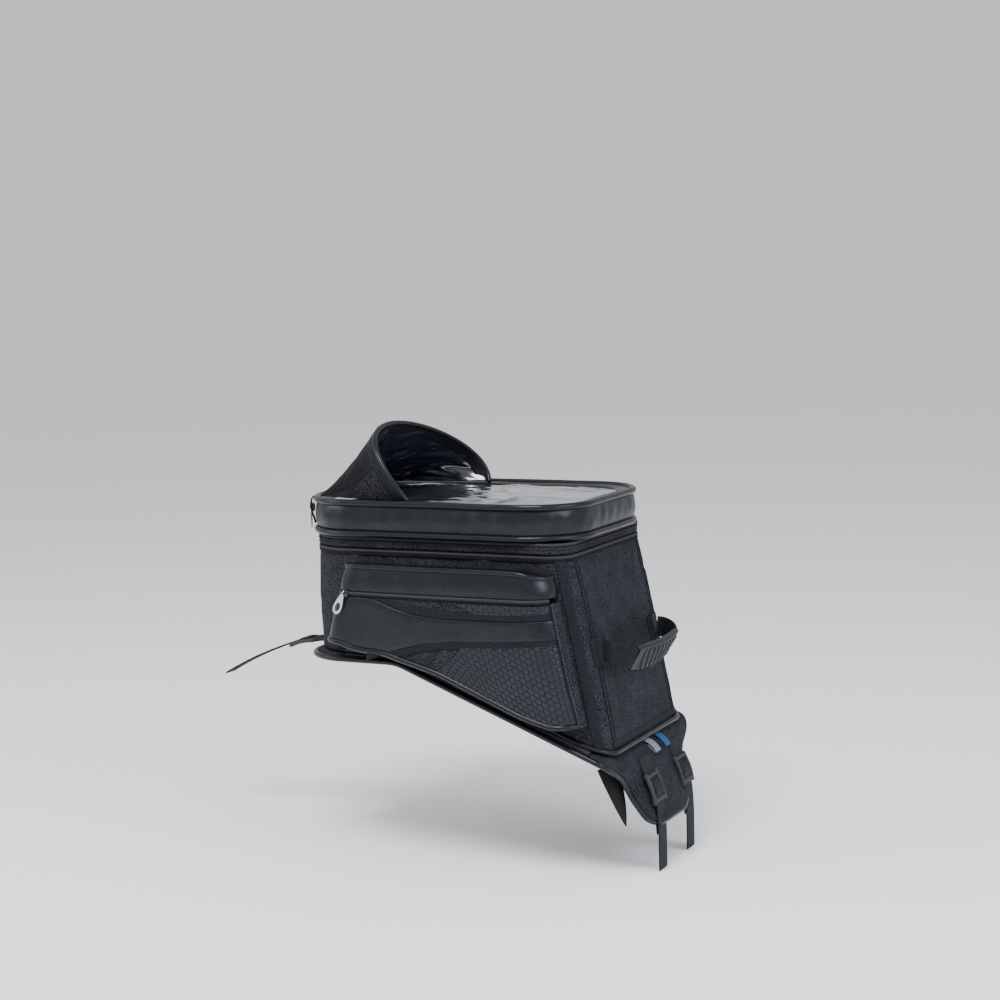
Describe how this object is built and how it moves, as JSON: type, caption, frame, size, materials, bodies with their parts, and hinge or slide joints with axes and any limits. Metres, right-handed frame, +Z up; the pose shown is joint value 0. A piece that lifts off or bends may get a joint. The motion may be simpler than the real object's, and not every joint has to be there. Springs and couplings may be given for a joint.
{
  "type": "motorcycle tank bag",
  "caption": "Expandable soft tank bag on a strap-on harness base, with hinged lid, clear map window, map hood, side pockets and a rear carry handle.",
  "frame": {"origin": "centre of the harness base's level underside, where it rests on the top of the fuel tank", "axes": "+X to the rider's right, +Y forward towards the steering head, +Z up"},
  "size_m": [0.3282, 0.6085, 0.5049],
  "materials": {
    "woven_cordura": "coarse woven nylon, satin sheen",
    "inner_lining": "plain lining",
    "grip_underlay": "soft non-slip backing",
    "cord_piping": "coated cord piping, satin",
    "zip_tape": "nylon coil on woven tape",
    "webbing": "ribbed webbing",
    "moulded_nylon": "moulded, semi-matt",
    "grip_rubber": "moulded rubber, satin",
    "smooth_leathercloth": "fine-grained coated cloth, satin",
    "hex_embossed_cloth": "embossed coated cloth",
    "clear_vinyl": "clear glossy film",
    "label_grey": "woven tab",
    "label_blue": "woven tab",
    "black_zinc": "black enamel on zinc",
    "bright_zinc": "polished zinc"
  },
  "bodies": {
    "harness": {"base_liner": "grip_underlay", "base_pad": "woven_cordura", "base_piping": "cord_piping", "base_zip": "zip_tape", "rear_tab_left": "woven_cordura", "rear_ladder_lock_left": "moulded_nylon", "rear_strap_left": "webbing", "rear_tab_right": "woven_cordura", "rear_ladder_lock_right": "moulded_nylon", "rear_strap_right": "webbing", "underlay_tail": "grip_underlay", "front_tab": "woven_cordura", "front_ladder_lock": "moulded_nylon", "front_strap": "webbing"},
    "bag": {"body_shell": "woven_cordura", "bottom_board": "inner_lining", "bottom_piping_left": "cord_piping", "bottom_piping_right": "cord_piping", "bottom_piping_rear": "cord_piping", "label_grey": "label_grey", "label_blue": "label_blue", "expansion_zip": "zip_tape", "handle_anchors": "webbing", "left_pocket_shell": "hex_embossed_cloth", "left_pocket_zip": "zip_tape", "left_pocket_bottom_piping": "cord_piping", "left_pocket_trim": "smooth_leathercloth", "right_pocket_shell": "hex_embossed_cloth", "right_pocket_zip": "zip_tape", "right_pocket_bottom_piping": "cord_piping", "right_pocket_trim": "smooth_leathercloth"},
    "collar": {"collar_band": "woven_cordura", "main_zip": "zip_tape", "gusset_skirt": "inner_lining"},
    "lid": {"lid_band": "smooth_leathercloth", "lid_panel": "smooth_leathercloth", "map_window_frame": "smooth_leathercloth", "map_window": "clear_vinyl", "lid_lower_piping": "cord_piping", "lid_top_piping": "cord_piping", "zip_garage": "woven_cordura"},
    "hood": {"hood_shell": "woven_cordura", "hood_liner": "clear_vinyl", "hood_mouth_binding": "cord_piping"},
    "left_flap": {"left_pocket_lid": "smooth_leathercloth", "left_pocket_top_piping": "cord_piping"},
    "right_flap": {"right_pocket_lid": "smooth_leathercloth", "right_pocket_top_piping": "cord_piping"},
    "handle": {"handle_webbing": "webbing", "handle_grip": "grip_rubber"},
    "left_pocket_slider": {"left_pocket_slider": "black_zinc"},
    "left_pocket_pull": {"left_pocket_pull": "bright_zinc"},
    "right_pocket_slider": {"right_pocket_slider": "black_zinc"},
    "right_pocket_pull": {"right_pocket_pull": "bright_zinc"},
    "expansion_slider": {"expansion_slider": "black_zinc"},
    "expansion_pull": {"expansion_pull": "bright_zinc"},
    "base_slider": {"base_slider": "black_zinc"},
    "base_pull": {"base_pull": "bright_zinc"},
    "main_slider": {"main_slider": "black_zinc"},
    "main_pull": {"main_pull": "bright_zinc"}
  },
  "joints": [
    {"name": "bag_tilt", "type": "hinge", "parent": "harness", "child": "bag", "pos_m": [0, 0.072, 0.0095], "axis": [-1, 0, 0], "range_deg": [0, 50]},
    {"name": "expansion_lift", "type": "slide", "parent": "bag", "child": "collar", "axis": [0, 0, 1], "range_m": [0, 0.06]},
    {"name": "lid_open", "type": "hinge", "parent": "collar", "child": "lid", "pos_m": [0, 0.076, 0.149], "axis": [-1, 0, 0], "range_deg": [0, 105]},
    {"name": "hood_fold", "type": "hinge", "parent": "lid", "child": "hood", "pos_m": [0, -0.07, 0.1913], "axis": [-1, 0, 0], "range_deg": [0, 44], "deforming": ["hood_shell", "hood_liner"]},
    {"name": "left_pocket_open", "type": "hinge", "parent": "bag", "child": "left_flap", "pos_m": [-0.1225, 0, 0.1172], "axis": [0, 1, 0], "range_deg": [0, 60]},
    {"name": "right_pocket_open", "type": "hinge", "parent": "bag", "child": "right_flap", "pos_m": [0.1225, 0, 0.1172], "axis": [0, -1, 0], "range_deg": [0, 60]},
    {"name": "handle_swing", "type": "hinge", "parent": "bag", "child": "handle", "pos_m": [0, -0.3105, 0.024], "axis": [1, 0, 0], "range_deg": [-90, 15]},
    {"name": "left_pocket_zip_run", "type": "slide", "parent": "bag", "child": "left_pocket_slider", "axis": [0, -1, 0], "range_m": [0, 0.23]},
    {"name": "left_pocket_pull_swing", "type": "hinge", "parent": "left_pocket_slider", "child": "left_pocket_pull", "pos_m": [-0.16245, -0.01205, 0.0906], "axis": [0, 1, 0], "range_deg": [0, 80]},
    {"name": "right_pocket_zip_run", "type": "slide", "parent": "bag", "child": "right_pocket_slider", "axis": [0, -1, 0], "range_m": [0, 0.23]},
    {"name": "right_pocket_pull_swing", "type": "hinge", "parent": "right_pocket_slider", "child": "right_pocket_pull", "pos_m": [0.16245, -0.01205, 0.0896], "axis": [0, -1, 0], "range_deg": [0, 80]},
    {"name": "expansion_zip_run", "type": "slide", "parent": "bag", "child": "expansion_slider", "axis": [-1, 0, 0], "range_m": [0, 0.08]},
    {"name": "expansion_pull_swing", "type": "hinge", "parent": "expansion_slider", "child": "expansion_pull", "pos_m": [0.04, 0.07015, 0.13495], "axis": [1, 0, 0], "range_deg": [0, 80]},
    {"name": "base_zip_run", "type": "slide", "parent": "harness", "child": "base_slider", "axis": [0, -1, 0], "range_m": [0, 0.045]},
    {"name": "base_pull_swing", "type": "hinge", "parent": "base_slider", "child": "base_pull", "pos_m": [0.13215, -0.0041, 0.01315], "axis": [0, 0, -1], "range_deg": [0, 22]},
    {"name": "main_zip_run", "type": "slide", "parent": "lid", "child": "main_slider", "axis": [0, 0, -1], "range_m": [0, 0.014]},
    {"name": "main_pull_swing", "type": "hinge", "parent": "main_slider", "child": "main_pull", "pos_m": [-0.09019, 0.06907, 0.17995], "axis": [0.8988, 0.4384, 0], "range_deg": [0, 80]}
  ]
}
